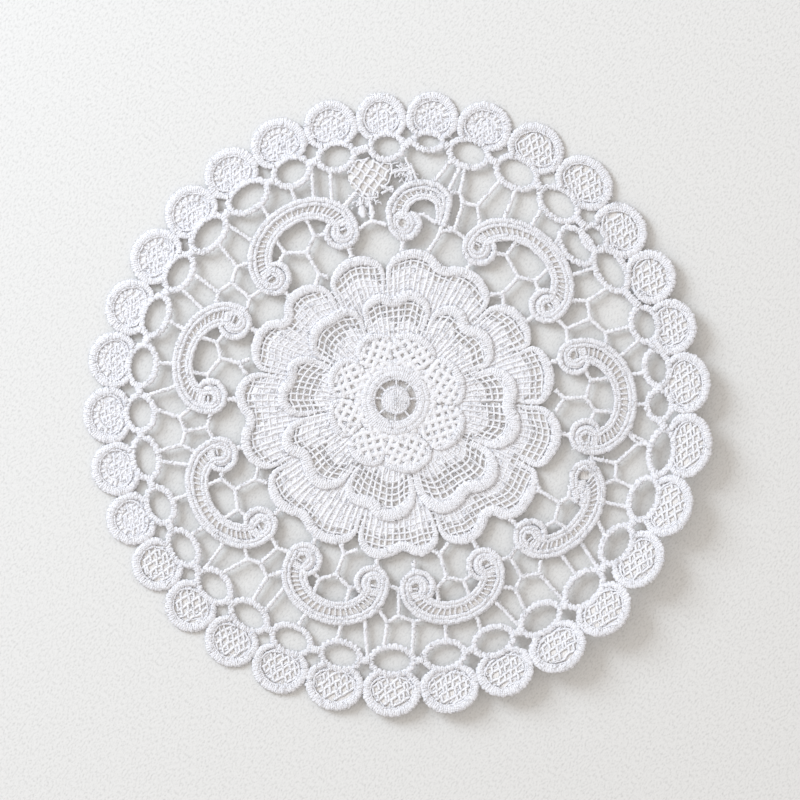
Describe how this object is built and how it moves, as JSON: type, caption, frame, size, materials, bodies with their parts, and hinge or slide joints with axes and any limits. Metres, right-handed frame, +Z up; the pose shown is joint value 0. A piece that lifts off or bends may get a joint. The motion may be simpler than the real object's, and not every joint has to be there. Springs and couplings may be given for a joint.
{
  "type": "lace doily",
  "caption": "Round white openwork lace doily: fan border over oval eyelets, a ring of C-scrolls held by thin bars, and a raised layered flower in the middle. Lies flat.",
  "frame": {"origin": "middle of the doily's outline, on the surface it lies on", "axes": "+Z up, away from the surface; +X and +Y lie in the doily's plane, with +Y towards the top of the pattern as it is usually seen"},
  "size_m": [0.2002, 0.1988, 0.0029],
  "materials": {
    "cotton_thread": "matt bleached cotton thread"
  },
  "bodies": {
    "root": {"lace_doily": "cotton_thread"}
  },
  "joints": []
}
